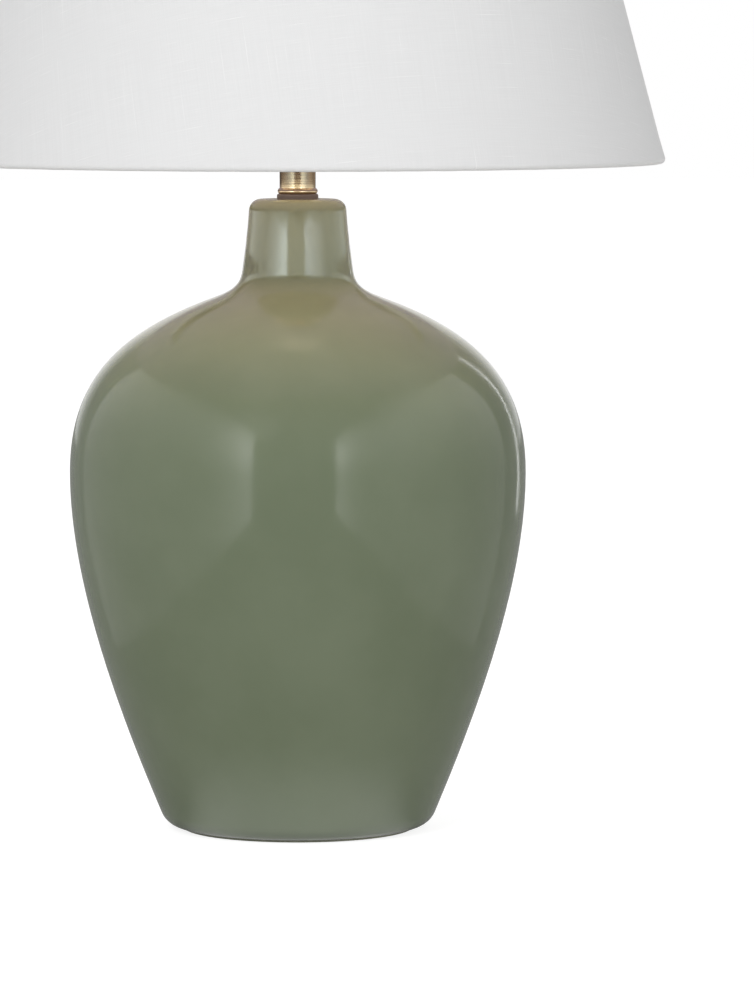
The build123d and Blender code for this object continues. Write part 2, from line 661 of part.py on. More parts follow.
def socket_core():
    """The moulded block: pockets for the terminals, a slot for the wires, a bore for the spindle."""
    core = ring(0, CORE_RADIUS, CORE_Z, CORE_TOP_Z)
    core = chamfer(core.edges().filter_by(GeomType.CIRCLE).sort_by(Axis.Z)[0], CORE_BEVEL)
    pocket = Box(2 * TERMINAL_POCKET_DEPTH, 3 * CORE_RADIUS, TERMINAL_POCKET_HEIGHT, align=RISING)
    for side in (-1, 1):
        core -= Pos(side * CORE_RADIUS, 0, CORE_Z + TERMINAL_POCKET_LOW) * pocket
    slot = Box(CORE_WIRE_SLOT, CORE_WIRE_SLOT, CORE_WIRE_SLOT_HEIGHT, align=RISING)
    return core - Pos(0, 0, CORE_Z) * slot - front_bore(RUN_CLEARANCE)


def terminal_screws():
    """Two screws, one in each pocket of the core."""
    height = CORE_Z + TERMINAL_POCKET_LOW + TERMINAL_POCKET_HEIGHT / 2
    screw = slotted_screw(TERMINAL_RADIUS, TERMINAL_LENGTH)
    right = Pos(CORE_RADIUS - TERMINAL_POCKET_DEPTH, 0, height) * Rot(0, 90, 0) * screw
    return Compound(children=[right, Rot(0, 0, 180) * right])


def screw_shell():
    """The cup that takes the bulb, open in the middle of its floor."""
    outer = SCREW_SHELL_BORE_RADIUS + SCREW_SHELL_METAL
    high = CORE_TOP_Z + SCREW_SHELL_HEIGHT
    floor = CORE_TOP_Z + SCREW_SHELL_METAL
    return turned_points(
        (SCREW_SHELL_OPENING, CORE_TOP_Z),
        (outer, CORE_TOP_Z),
        (outer, high),
        (SCREW_SHELL_BORE_RADIUS, high),
        (SCREW_SHELL_BORE_RADIUS, floor),
        (SCREW_SHELL_OPENING, floor),
    )


def centre_contact():
    """A springy strip that lies on the core and folds up under the bulb's tip."""
    low = CORE_TOP_Z + CONTACT_THICKNESS / 2
    high = BULB_Z - CONTACT_THICKNESS / 2
    half = CONTACT_WIDTH / 2
    path = Polyline(at(-CONTACT_FOOT, low), at(half, low), at(0, high), at(-half, high))
    section = Plane(path @ 0, x_dir=(0, 1, 0), z_dir=path % 0) * Rectangle(CONTACT_WIDTH, CONTACT_THICKNESS)
    return Rot(0, 0, -90) * sweep(section, path, transition=Transition.RIGHT)


def switch_spindle():
    spindle = Cylinder(SPINDLE_RADIUS, SPINDLE_END - SPINDLE_START, align=RISING)
    return to_front(SPINDLE_START, SPINDLE_Z) * spindle


def switch_knob():
    """A fluted knob pressed on the spindle's end."""
    start = SOCKET_CAP_RADIUS + KNOB_GAP
    knob = Cylinder(KNOB_RADIUS, KNOB_LENGTH, align=RISING)
    knob = fillet(knob.edges().filter_by(GeomType.CIRCLE).sort_by(Axis.Z)[-1], KNOB_ROUND)
    flute = Pos(KNOB_RADIUS, 0, KNOB_SKIRT) * Cylinder(KNOB_FLUTE_RADIUS, KNOB_LENGTH, align=RISING)
    knob -= PolarLocations(0, KNOB_FLUTES) * flute
    socket = Cylinder(SPINDLE_RADIUS + KNOB_GRIP, SPINDLE_END - start, align=RISING)
    return to_front(start, SPINDLE_Z) * (knob - socket)


# Bulb


def bulb_tip():
    return ring(0, BULB_TIP_RADIUS, BULB_Z, INSULATOR_Z)


def bulb_insulator():
    plug = BULB_BASE_RADIUS - BULB_BASE_METAL
    return turned_points(
        (0, INSULATOR_Z), (BULB_TIP_RADIUS, INSULATOR_Z), (plug, BULB_BASE_Z), (0, BULB_BASE_Z)
    )


def bulb_base():
    return ring(BULB_BASE_RADIUS - BULB_BASE_METAL, BULB_BASE_RADIUS, BULB_BASE_Z, HOUSING_Z)


def bulb_housing():
    """The moulded body that flares up to the globe, with a plug down inside the screw cap."""
    plug = BULB_BASE_RADIUS - BULB_BASE_METAL
    foot, rim = at(BULB_BASE_RADIUS, HOUSING_Z), at(HOUSING_RIM_RADIUS, GLOBE_Z)
    rim_lean = heading(90 - HOUSING_RIM_LEAN)
    flare = Bezier(foot, foot + HOUSING_FOOT_PULL * heading(90), rim - HOUSING_RIM_PULL * rim_lean, rim)
    return turned(
        Polyline(rim, at(0, GLOBE_Z), at(0, BULB_BASE_Z), at(plug, BULB_BASE_Z), at(plug, HOUSING_Z), foot),
        flare,
    )


def bulb_board():
    """The disc that carries the light emitters, on top of the housing."""
    radius = HOUSING_RIM_RADIUS - GLOBE_WALL - BOARD_GAP
    return ring(0, radius, GLOBE_Z, GLOBE_Z + BOARD_THICKNESS)


def bulb_globe():
    """The frosted globe, a thin shell open at its foot."""
    line = []
    centre = at(0, BULB_TOP_Z - BULB_RADIUS)
    for inset in (0, GLOBE_WALL):
        radius = BULB_RADIUS - inset
        foot, widest = at(HOUSING_RIM_RADIUS - inset, GLOBE_Z), centre + at(radius, 0)
        foot_handle = foot + GLOBE_PULL * heading(90 - HOUSING_RIM_LEAN)
        line.append(Bezier(foot, foot_handle, widest - GLOBE_PULL * heading(90), widest))
        line.append(arc(centre, radius, 0, 90))
    foot_edge = Line(line[0] @ 0, line[2] @ 0)
    pole_edge = Line(line[1] @ 1, line[3] @ 1)
    return turned(*line, foot_edge, pole_edge)


# Shade


def shade_point(along, depth):
    """A point of the shade's section: along its slant from the bottom, and depth in from its face."""
    outward, upward = cos(SHADE_LEAN), sin(SHADE_LEAN)
    bottom = at(SHADE_BOTTOM_RADIUS, SHADE_BOTTOM_Z)
    return bottom + along * at(-upward, outward) - depth * at(outward, upward)


def bottom_wire_centre():
    return shade_point(HEM_RADIUS, HEM_RADIUS)


def top_wire_centre():
    return shade_point(SHADE_SLANT - HEM_RADIUS, HEM_RADIUS)


def ring_wire(centre):
    return Pos(0, 0, centre.Z) * Torus(centre.X, RING_WIRE_RADIUS)


def bottom_ring():
    return ring_wire(bottom_wire_centre())


def top_ring():
    return ring_wire(top_wire_centre())


def spoke_path():
    """From the hub's top outwards, flat and then up to the top ring."""
    low = HUB_TOP_Z + SPOKE_RADIUS
    return FilletPolyline(at(SPOKE_START, low), at(SPOKE_FLAT, low), top_wire_centre(), radius=SPOKE_BEND)


def round_the_hub(piece):
    """Copies of a piece in the XZ plane, one for each spoke, the first to the rear."""
    return [Rot(0, 0, 90 + turn * 360 / SPOKES) * piece for turn in range(SPOKES)]


def spider_spokes():
    """Wires welded to the hub and to the top ring, whose round they are cut to."""
    spoke = bent_rod(spoke_path(), SPOKE_RADIUS) - top_ring()
    spoke = spoke.solids().sort_by(SortBy.VOLUME)[-1]
    return Compound(children=round_the_hub(spoke))


def spider_hub():
    return ring(STUD_HOLE_RADIUS, HUB_RADIUS, SEAT_Z, HUB_TOP_Z)


def shade_fabric():
    """The cloth, turned over a ring wire at both edges, notched for the spokes, lapped at the rear."""
    outward = degrees(SHADE_LEAN)
    low, high = bottom_wire_centre(), top_wire_centre()
    outer_low, inner_low = (arc(low, radius, outward, -HEM_WRAP) for radius in (HEM_RADIUS, HEM_BORE))
    outer_high, inner_high = (arc(high, radius, outward, HEM_WRAP) for radius in (HEM_RADIUS, HEM_BORE))
    cloth = turned(
        outer_low,
        inner_low,
        outer_high,
        inner_high,
        Line(outer_low @ 0, outer_high @ 0),
        Line(inner_low @ 0, inner_high @ 0),
        Line(outer_low @ 1, inner_low @ 1),
        Line(outer_high @ 1, inner_high @ 1),
    )
    for notch in round_the_hub(bent_rod(spoke_path(), SPOKE_RADIUS + NEST_CLEARANCE)):
        cloth -= notch
    ends = (HEM_RADIUS, SHADE_SLANT - HEM_RADIUS)
    corners = [shade_point(ends[0], 0), shade_point(ends[1], 0)]
    corners += [shade_point(ends[1], -FABRIC_THICKNESS), shade_point(ends[0], -FABRIC_THICKNESS)]
    strip = Box(SEAM_WIDTH, SHADE_BOTTOM_RADIUS, SHADE_HEIGHT, align=(Align.CENTER, Align.MIN, Align.MIN))
    lap = turned(Polyline(*corners, close=True)) & Pos(0, FABRIC_THICKNESS, SHADE_BOTTOM_Z) * strip
    return cloth + lap


def shade_liner():
    """The stiff cone that the cloth is laid on."""
    start = 2 * HEM_RADIUS + NEST_CLEARANCE
    end = SHADE_SLANT - start
    depth = FABRIC_THICKNESS + LINER_THICKNESS
    corners = [shade_point(start, FABRIC_THICKNESS), shade_point(end, FABRIC_THICKNESS)]
    corners += [shade_point(end, depth), shade_point(start, depth)]
    return turned(Polyline(*corners, close=True))


def finial():
    """A turned nut: a collar, a waist, a ball and a small tip."""
    base, ball = HUB_TOP_Z, HUB_TOP_Z + FINIAL_BALL_HEIGHT
    tip = ball + FINIAL_BALL_RADIUS + FINIAL_TIP_HEIGHT
    bore_top = base + FINIAL_BORE_DEPTH
    collar = at(FINIAL_BASE_RADIUS, base + FINIAL_BASE_HEIGHT)
    waist = at(FINIAL_WAIST_RADIUS, collar.Z + FINIAL_BASE_HEIGHT)
    ball_low = at(FINIAL_WAIST_RADIUS, ball - sqrt(FINIAL_BALL_RADIUS**2 - FINIAL_WAIST_RADIUS**2))
    ball_high = at(FINIAL_TIP_RADIUS, ball + sqrt(FINIAL_BALL_RADIUS**2 - FINIAL_TIP_RADIUS**2))
    return turned(
        Polyline(at(STUD_HOLE_RADIUS, base), at(FINIAL_BASE_RADIUS, base), collar),
        Bezier(collar, at(FINIAL_WAIST_RADIUS, collar.Z), waist),
        Line(waist, ball_low),
        ThreePointArc(ball_low, at(FINIAL_BALL_RADIUS, ball), ball_high),
        Polyline(
            ball_high,
            at(FINIAL_TIP_RADIUS, tip),
            at(0, tip),
            at(0, bore_top),
            at(STUD_HOLE_RADIUS, bore_top),
            at(STUD_HOLE_RADIUS, base),
        ),
    )


PIECES = [
    felt_pad,
    ceramic_body,
    cord_grommet,
    threaded_rod,
    bottom_crossbar,
    bottom_lock_washer,
    bottom_nut,
    neck_gasket,
    neck_tube,
    neck_cap_ring,
    harp_saddle,
    saddle_nut,
    harp_bow,
    harp_sleeve_left,
    harp_sleeve_right,
    harp_stud,
    socket_cap,
    socket_set_screw,
    socket_shell,
    socket_liner,
    socket_core,
    terminal_screws,
    screw_shell,
    centre_contact,
    switch_spindle,
    switch_knob,
    bulb_tip,
    bulb_insulator,
    bulb_base,
    bulb_housing,
    bulb_board,
    bulb_globe,
    shade_fabric,
    shade_liner,
    bottom_ring,
    top_ring,
    spider_spokes,
    spider_hub,
    finial,
]

os.makedirs("parts", exist_ok=True)
for piece in PIECES:
    export_step(piece(), f"parts/{piece.__name__}.step")
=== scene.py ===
"""Looks of the table lamp: its finishes, its cloth shade, its felt, its threads, and the studio."""

from math import atan2, ceil, cos, hypot, pi, radians, sin, tau

import bpy
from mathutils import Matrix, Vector, noise as uneven


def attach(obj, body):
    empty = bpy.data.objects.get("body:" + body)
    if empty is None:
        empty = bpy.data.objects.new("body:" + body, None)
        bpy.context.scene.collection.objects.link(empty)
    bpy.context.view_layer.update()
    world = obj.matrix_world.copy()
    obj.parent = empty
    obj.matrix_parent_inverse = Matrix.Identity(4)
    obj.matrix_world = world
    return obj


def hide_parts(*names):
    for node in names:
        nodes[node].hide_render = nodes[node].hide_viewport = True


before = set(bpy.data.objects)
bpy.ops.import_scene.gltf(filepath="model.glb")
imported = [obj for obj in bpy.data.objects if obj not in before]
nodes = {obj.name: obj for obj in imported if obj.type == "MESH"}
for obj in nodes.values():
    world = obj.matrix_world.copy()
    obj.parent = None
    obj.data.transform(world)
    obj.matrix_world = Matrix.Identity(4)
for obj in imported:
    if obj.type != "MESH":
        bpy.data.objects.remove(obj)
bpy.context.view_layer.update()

MM = 0.001

# Camera, in metres: where it stands, and the point at the middle of the picture
CAMERA_PLACE = Vector((0.0, -3.26, 0.4451))
CAMERA_TARGET = Vector((0.0439, 0.0, 0.1829))
SENSOR = 36.0
LENS = 211.93
CLIP_END = 100

# Floor and surroundings
RING_SIDES = 96  # of the floor and of each ring card
FLOOR_RADIUS = 14.0
FLOOR_COLOUR = (0.80, 0.80, 0.79, 1)
FLOOR_GLOW = 0.86  # share of the floor's white that shadows can't darken
FLOOR_SHADE = 0.34
WORLD_LIGHT = 0.48  # of the surroundings on dull surfaces
WORLD_GLOSS = 0.30  # of the dim studio in gloss, apart from the white behind the lamp
WHITE_BEHIND = (0.84, 0.98)  # how far round to the rear the white starts and is full, as a cosine

# A glowing ring that the lower glaze shows in place of the floor, with a painted shadow at the foot
FLOOR_CARD = (0.064, 0.080, 0.155)  # radii: its inner edge in painted shadow, the white, and where it is dim again
FLOOR_CARD_HEIGHT = 0.001
FLOOR_CARD_LIGHT = 1.5
FLOOR_CARD_FRONT = (-0.35, -0.85)  # how far round to the front the white starts and is full, as a cosine
FLOOR_CARD_SHADOW = 0.3  # painted shadow: share of the light that is left at the foot

# Upright boards that only gloss meets
BOARD_OFFSET = 0.33  # of both bright boards from the lamp's axis
BOARD_FOOT = 0.002
BOARD_HEIGHT = 0.60
LEFT_BOARD = (-0.85, 0.19)  # its two ends along Y
RIGHT_BOARD = (-1.02, 0.12)
BOARD_LIGHT = 3.4
BOARD_FADE = (0.55, 0.30)  # how far back a board fades, and the share of its light that is left there
BOARD_RISE = (0.18, 0.40, 0.50, 0.95)  # two heights, and the share of the light at each
BOARD_TOP = (0.44, 0.60, 1.0, 0.5)  # the same for the fade towards its top
RIM_STRIP = (0.88, 1.21)  # place of a thin upright light behind the lamp, to the right
RIM_STRIP_WIDTH = 0.06
RIM_STRIP_HEIGHT = 1.4
RIM_STRIP_LIGHT = 5.0

# Lights. The soft ones each have a place, a width and a power
LIGHT_TARGET = Vector((0, 0, 0.35))
KEY_LIGHT = (Vector((-1.1, -2.7, 1.9)), 1.2, 44.0)
FILL_LIGHT = (Vector((2.2, -2.0, 1.0)), 1.6, 14.0)
REAR_LIGHT = (Vector((0.5, 2.7, 1.7)), 1.8, 13.0)
LAMP_PLACE = (0, 0, 0.512)  # the middle of the bulb's globe
LAMP_RADIUS = 0.028
LAMP_POWER = 0.75
LAMP_COLOUR = (1.0, 0.80, 0.58)
SHADE_GLOW_PLACE = (0, 0, 0.3702)  # warm light that leaves the shade downwards
SHADE_GLOW_SIZE = 0.29
SHADE_GLOW_POWER = 0.255
SHADE_GLOW_COLOUR = (1.0, 0.59, 0.54)

# Cards round the neck that only gloss meets, each with its radius and its two heights
NECK_CARD = (0.130, 0.327, 0.3518)
LIP_CARD = (0.130, 0.3518, 0.3545)
BRASS_CARD = (0.130, 0.3545, 0.3712)
NECK_LIGHT = 8.0
LIP_LIGHT = 4.5
BRASS_LIGHT = 1.2
# Glowing rings seen only in gloss: a painted reflection of the shade's underside on the shoulder
SHOULDER_CARDS = (  # inner and outer radius, and both heights
    (0.100, 0.155, 0.326, 0.326),
    (0.021, 0.198, 0.3714, 0.3714),
)
SHOULDER_CARD_COLOUR = (0.42, 0.385, 0.45, 1)

# Reliefs: how deep each is, in metres
GLAZE_WAVE = 1.2 * MM
BRUSH_DEPTH = 0.02 * MM
GRAIN_DEPTH = 0.03 * MM
WEAVE_DEPTH = 0.05 * MM
FIBRE_DEPTH = 0.25 * MM
ROD_THREAD_DEPTH = 0.25 * MM
ROD_PITCH = 0.94 * MM

# Shade, in metres: the outer face's foot and head, each as radius and height
SHADE_FOOT = (0.2032, 0.3709)
SHADE_HEAD = (0.1270, 0.6577)
SHADE_TAPER = SHADE_FOOT[0] - SHADE_HEAD[0]
SHADE_RISE = SHADE_HEAD[1] - SHADE_FOOT[1]
SHADE_SLANT = hypot(SHADE_TAPER, SHADE_RISE)
SHADE_LEAN = atan2(SHADE_TAPER, SHADE_RISE)
CONE_SHARE = SHADE_TAPER / SHADE_SLANT  # of a full turn that the cone covers when it is laid flat
CONE_SLANT = SHADE_FOOT[0] / CONE_SHARE  # from the cone's point to the shade's foot

# Cloth: its threads, its hem over each ring wire, its lap at the rear, and its notches for the spokes
CLOTH_THICKNESS = 0.6 * MM
THREAD_PITCH = 0.46 * MM
STRAIGHT_GRAIN = radians(300)  # where the upright threads stand plumb
HEM_RADIUS = 2.2 * MM
HEM_WRAP = radians(235)
HEM_SWELL = 0.35 * MM  # how far the turned edge stands proud of the cloth above it
HEM_FADE = 6 * MM  # the length over which that swell goes down
HEM_CRUMPLE = 0.10 * MM
CRUMPLE_SCALE = (22, 160)  # round the shade, and along its slant
LAP_WIDTH = 10 * MM
LAP_START = radians(90)  # the lap's middle, at the rear
LAP_RAMP = 5 * MM
LAP_GAP = 0.05 * MM
SPOKE_HEADINGS = (90, 210, 330)
NOTCH = 3.2 * MM  # half its width
NOTCH_SHARE = 0.62  # of the upper hem's rows
CLOTH_COLUMNS = 300
HEM_ROWS = 14
FACE_ROWS = 22

# Felt, in metres
FELT_RADIUS = 0.064
FELT_THICKNESS = 1.5 * MM
FELT_SIDES = 128
FELT_BEVEL = 0.45 * MM
FELT_SOFT_EDGE = 2 * MM
FELT_FRAY = 0.18 * MM
FRAY_SCALE = 700

# Threads of the bulb's cap and of the socket's cup, in metres
SCREW_PITCH = 3.63 * MM
CAP_CREST = 13.0 * MM
CAP_DEPTH = 0.42 * MM
CAP_WALL = 0.06 * MM
CAP_HEIGHTS = (0.4373, 0.4563)
CUP_CREST = 13.9 * MM
CUP_DEPTH = 0.3 * MM
CUP_WALL = 0.28 * MM
CUP_HEIGHTS = (0.4289, 0.4519)
CUP_HOLE = 7.5 * MM
CUP_FLOOR = 0.3 * MM
CUP_FLOOR_RISE = 0.1 * MM
CUP_FLOOR_INSET = 0.3 * MM
RIDGE_STEPS = 10
TURN_STEPS = 64
WELD_DISTANCE = 0.01 * MM


# Material helpers


def feed(tree, socket, value):
    """Gives a socket a value, or another socket to take it from."""
    if isinstance(value, bpy.types.NodeSocket):
        tree.links.new(value, socket)
    else:
        socket.default_value = value


def feed_all(tree, node, **sockets):
    """The same for a node's sockets by name."""
    for name, value in sockets.items():
        feed(tree, node.inputs[name.replace("_", " ")], value)


def add(tree, kind, settings=None, **sockets):
    """A node, its settings, and its sockets by name."""
    node = tree.nodes.new("ShaderNode" + kind)
    for name, value in (settings or {}).items():
        setattr(node, name, value)
    feed_all(tree, node, **sockets)
    return node


def empty_material(name):
    """A material with nothing but its output: the material, its node tree and that output."""
    material = bpy.data.materials.new(name)
    material.use_nodes = True
    tree = material.node_tree
    tree.nodes.clear()
    return material, tree, tree.nodes.new("ShaderNodeOutputMaterial")


def new_material(name):
    """A material, its node tree and its shader, joined to the output."""
    material, tree, output = empty_material(name)
    shader = add(tree, "BsdfPrincipled")
    tree.links.new(shader.outputs["BSDF"], output.inputs["Surface"])
    return material, tree, shader


def place(tree, scale=(1, 1, 1)):
    """Object coordinates, stretched by scale."""
    coordinates = add(tree, "TexCoord")
    return add(tree, "Mapping", Vector=coordinates.outputs["Object"], Scale=scale).outputs["Vector"]


def noise(tree, vector, scale, detail=2.0, roughness=0.5):
    """Smooth noise from 0 to 1."""
    texture = add(tree, "TexNoise", Vector=vector, Scale=scale, Detail=detail, Roughness=roughness)
    return texture.outputs["Fac"]


def spread(tree, value, low, high, to_low=0.0, to_high=1.0):
    """A value from low to high, mapped smoothly to another range."""
    node = add(
        tree, "MapRange", {"interpolation_type": "SMOOTHSTEP"},
        Value=value, From_Min=low, From_Max=high, To_Min=to_low, To_Max=to_high,
    )
    return node.outputs["Result"]


def calculate(tree, operation, first, second=0.0):
    """The result of one sum. Its inputs share a name, so they are fed in their order."""
    node = add(tree, "Math", {"operation": operation})
    for socket, value in zip(node.inputs, (first, second)):
        feed(tree, socket, value)
    return node.outputs["Value"]


def tones(tree, factor, *stops):
    """A colour ramp: stops are (place, colour)."""
    node = add(tree, "ValToRGB", Fac=factor)
    ramp = node.color_ramp
    while len(ramp.elements) < len(stops):
        ramp.elements.new(0.5)
    for element, (position, colour) in zip(ramp.elements, stops):
        element.position = position
        element.color = (*colour, 1)
    return node.outputs["Color"]


def bump(tree, shader, height, distance, strength):
    """Relief of a height in metres on a shader, on top of any that it has."""
    node = add(tree, "Bump", Height=height, Distance=distance, Strength=strength)
    earlier = shader.inputs["Normal"].links
    if earlier:
        tree.links.new(earlier[0].from_socket, node.inputs["Normal"])
    tree.links.new(node.outputs["Normal"], shader.inputs["Normal"])


def thread_relief(tree, shader, pitch, depth):
    """The ridge of a screw thread round the Z axis, as relief."""
    split = add(tree, "SeparateXYZ", Vector=place(tree))
    round_it = calculate(tree, "ARCTAN2", split.outputs["Y"], split.outputs["X"])
    climb = calculate(tree, "MULTIPLY", split.outputs["Z"], tau / pitch)
    ridge = calculate(tree, "SINE", calculate(tree, "SUBTRACT", climb, round_it))
    bump(tree, shader, ridge, depth, 1.0)


def paint(material, *names):
    """Gives a finish to nodes of the frame."""
    for name in names:
        for slot in nodes[name].material_slots:
            slot.material = material


# Finishes


def glaze():
    """Glossy sage glaze, faintly mottled, with a slight wave."""
    material, tree, shader = new_material("sage_glaze")
    here = place(tree)
    cloud = noise(tree, here, 14.0, detail=4.0, roughness=0.55)
    colour = tones(
        tree, spread(tree, cloud, 0.3, 0.7), (0.0, (0.150, 0.184, 0.114)), (1.0, (0.170, 0.205, 0.132))
    )
    gloss = spread(tree, noise(tree, here, 40.0), 0.35, 0.65, 0.11, 0.15)
    feed_all(tree, shader, Base_Color=colour, Roughness=gloss, IOR=1.52)
    bump(tree, shader, noise(tree, here, 9.0), GLAZE_WAVE, 0.35)
    return material


def brass(name, colour, roughness, turned):
    """Brushed antique brass. A turned piece has its brush lines round its axis."""
    material, tree, shader = new_material(name)
    lines = place(tree, (30, 30, 2600) if turned else (900, 900, 900))
    brushed = noise(tree, lines, 1.0, detail=3.0, roughness=0.6)
    patina = noise(tree, place(tree), 60.0, detail=3.0)
    dark = tuple(0.55 * part for part in colour)
    worn = calculate(tree, "MULTIPLY", spread(tree, patina, 0.42, 0.7), 0.35)
    feed_all(
        tree, shader,
        Base_Color=tones(tree, worn, (0.0, colour), (1.0, dark)),
        Roughness=spread(tree, brushed, 0.3, 0.7, roughness - 0.04, roughness + 0.07),
        Metallic=1.0,
        Anisotropic=0.55 if turned else 0.0,
    )
    bump(tree, shader, brushed, BRUSH_DEPTH, 0.4)
    return material


def plain_metal(name, colour, roughness):
    """A plated or rolled metal with a fine grain."""
    material, tree, shader = new_material(name)
    grain = noise(tree, place(tree), 420.0, detail=3.0)
    dark = tuple(0.86 * part for part in colour)
    feed_all(
        tree, shader,
        Base_Color=tones(tree, grain, (0.3, dark), (0.7, colour)),
        Roughness=spread(tree, grain, 0.3, 0.7, roughness - 0.07, roughness + 0.09),
        Metallic=1.0,
    )
    bump(tree, shader, grain, GRAIN_DEPTH, 0.3)
    return material


def rod_zinc():
    """Zinc plate on the lamp rod, with its fine thread."""
    material = plain_metal("threaded_zinc", (0.58, 0.58, 0.57), 0.38)
    tree = material.node_tree
    shader = next(node for node in tree.nodes if node.type == "BSDF_PRINCIPLED")
    thread_relief(tree, shader, ROD_PITCH, ROD_THREAD_DEPTH)
    return material


def moulded(name, colour, roughness):
    """A moulded plastic or rubber with a fine grain."""
    material, tree, shader = new_material(name)
    grain = noise(tree, place(tree), 900.0, detail=2.0)
    dark = tuple(0.88 * part for part in colour)
    feed_all(
        tree, shader,
        Base_Color=tones(tree, grain, (0.3, dark), (0.7, colour)),
        Roughness=spread(tree, grain, 0.3, 0.7, roughness - 0.04, roughness + 0.06),
    )
    bump(tree, shader, grain, GRAIN_DEPTH, 0.5)
    return material


def linen():
    """Fine white cloth: a plain weave of uneven threads, with long slubs both ways and faint flecks."""
    material, tree, shader = new_material("shade_linen")
    flat = add(tree, "UVMap", {"uv_map": "cut"}).outputs["UV"]
    split = add(tree, "SeparateXYZ", Vector=flat)
    ways = []
    for axis in ("X", "Y"):
        turn = calculate(tree, "MULTIPLY", split.outputs[axis], pi / THREAD_PITCH)
        ways.append(calculate(tree, "SINE", turn))
    weave = calculate(tree, "MULTIPLY", *ways)
    both_threads, both_slubs = [], []
    for scale, shift in (((34, 1700, 1), (0, 0, 0)), ((1350, 13, 1), (0, 0, 7))):
        lines = add(tree, "Mapping", Vector=flat, Scale=scale, Location=shift).outputs["Vector"]
        threads = noise(tree, lines, 1.0, detail=2.0)
        both_threads.append(threads)
        both_slubs.append(spread(tree, threads, 0.685, 0.75))
    slub = calculate(tree, "MAXIMUM", *both_slubs)
    mean = calculate(tree, "MULTIPLY", calculate(tree, "ADD", *both_threads), 0.5)
    light = spread(tree, mean, 0.35, 0.65, 0.10, 0.30)
    shown = calculate(tree, "ADD", light, calculate(tree, "MULTIPLY", slub, 0.70))
    fleck = spread(tree, noise(tree, flat, 420.0, detail=1.0), 0.80, 0.84, 0.0, 0.10)
    shown = calculate(tree, "SUBTRACT", shown, fleck)
    colour = tones(
        tree, shown,
        (0.0, (0.700, 0.702, 0.706)), (0.1, (0.770, 0.772, 0.776)), (1.0, (0.875, 0.877, 0.880)),
    )
    feed_all(tree, shader, Base_Color=colour, Roughness=0.88, Sheen_Weight=0.08)
    woven = calculate(tree, "MULTIPLY", weave, 0.5)
    height = calculate(tree, "ADD", woven, calculate(tree, "MULTIPLY", slub, 1.2))
    bump(tree, shader, height, WEAVE_DEPTH, 0.6)
    return material


def felt():
    """Pressed felt: short fibres every way, matt and slightly cloudy."""
    material, tree, shader = new_material("green_felt")
    fibres = []
    for scale in ((4200, 500, 900), (500, 4200, 900), (2600, 2600, 900)):
        fibres.append(noise(tree, place(tree, scale), 1.0, detail=3.0, roughness=0.6))
    crossed = calculate(tree, "MAXIMUM", calculate(tree, "MAXIMUM", fibres[0], fibres[1]), fibres[2])
    cloud = noise(tree, place(tree), 55.0, detail=3.0)
    fibre_tone = spread(tree, crossed, 0.45, 0.8, 0.0, 0.7)
    shown = calculate(tree, "ADD", fibre_tone, calculate(tree, "MULTIPLY", cloud, 0.3))
    colour = tones(tree, shown, (0.1, (0.42, 0.43, 0.33)), (0.9, (0.66, 0.66, 0.55)))
    feed_all(tree, shader, Base_Color=colour, Roughness=0.96, Sheen_Weight=0.35)
    bump(tree, shader, crossed, FIBRE_DEPTH, 0.7)
    return material


def paint_the_frame():
    """Gives every node of the frame its finish."""
    paint(glaze(), "ceramic_body")
    turned = brass("turned_brass", (0.64, 0.47, 0.30), 0.12, True)
    paint(turned, "neck_tube", "neck_cap_ring", "finial")
    paint(turned, "harp_stud", "harp_sleeve_left", "harp_sleeve_right")
    bent = brass("bent_brass", (0.60, 0.45, 0.29), 0.30, False)
    paint(bent, "harp_saddle", "harp_bow", "spider_spokes", "spider_hub")
    bright = brass("socket_brass", (0.72, 0.57, 0.34), 0.22, True)
    paint(bright, "socket_cap", "socket_shell", "screw_shell", "centre_contact")
    zinc = plain_metal("zinc_plate", (0.60, 0.60, 0.59), 0.35)
    paint(rod_zinc(), "threaded_rod")
    paint(zinc, "bottom_crossbar", "bottom_lock_washer", "bottom_nut", "saddle_nut")
    paint(zinc, "socket_set_screw", "bottom_ring", "top_ring", "terminal_screws", "switch_spindle")
    paint(plain_metal("bulb_aluminium", (0.74, 0.74, 0.73), 0.28), "bulb_base", "bulb_tip")
    paint(moulded("grey_rubber", (0.105, 0.092, 0.080), 0.55), "neck_gasket", "cord_grommet")
    paint(moulded("phenolic", (0.022, 0.018, 0.016), 0.28), "socket_core", "switch_knob")
    paint(moulded("black_glass", (0.02, 0.018, 0.018), 0.12), "bulb_insulator")
    paint(moulded("white_plastic", (0.78, 0.78, 0.76), 0.38), "bulb_housing", "bulb_board")
    paint(moulded("frosted_globe", (0.84, 0.84, 0.82), 0.34), "bulb_globe")
    paint(moulded("insulating_card", (0.46, 0.36, 0.24), 0.8), "socket_liner")
    paint(moulded("warm_lining", (0.84, 0.80, 0.72), 0.45), "shade_liner")


# New pieces


def finish_piece(piece, body, slot, material, *stands_for):
    """Gives a new piece its finish and its body, and hides the CAD nodes that it stands for."""
    piece.data.materials.clear()
    piece.data.materials.append(material)
    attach(piece, body)
    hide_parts(*stands_for)


def use_modifier(piece, kind, **settings):
    """Adds a modifier to a piece and applies it."""
    bpy.context.view_layer.objects.active = piece
    modifier = piece.modifiers.new(kind.lower(), kind)
    for name, value in settings.items():
        setattr(modifier, name, value)
    bpy.ops.object.modifier_apply(modifier=modifier.name)


def smooth_step(value, low, high):
    """0 below low, 1 above high, and a smooth climb between them."""
    share = min(max((value - low) / (high - low), 0), 1)
    return share * share * (3 - 2 * share)


def wrap(angle):
    """An angle brought to within half a turn of 0."""
    return (angle + pi) % tau - pi


def shade_point(along, out):
    """A point of the shade's section, as radius and height: up its slant, and out from its face."""
    rise = SHADE_RISE / SHADE_SLANT
    return SHADE_FOOT[0] - along * CONE_SHARE + out * rise, SHADE_FOOT[1] + along * rise + out * CONE_SHARE


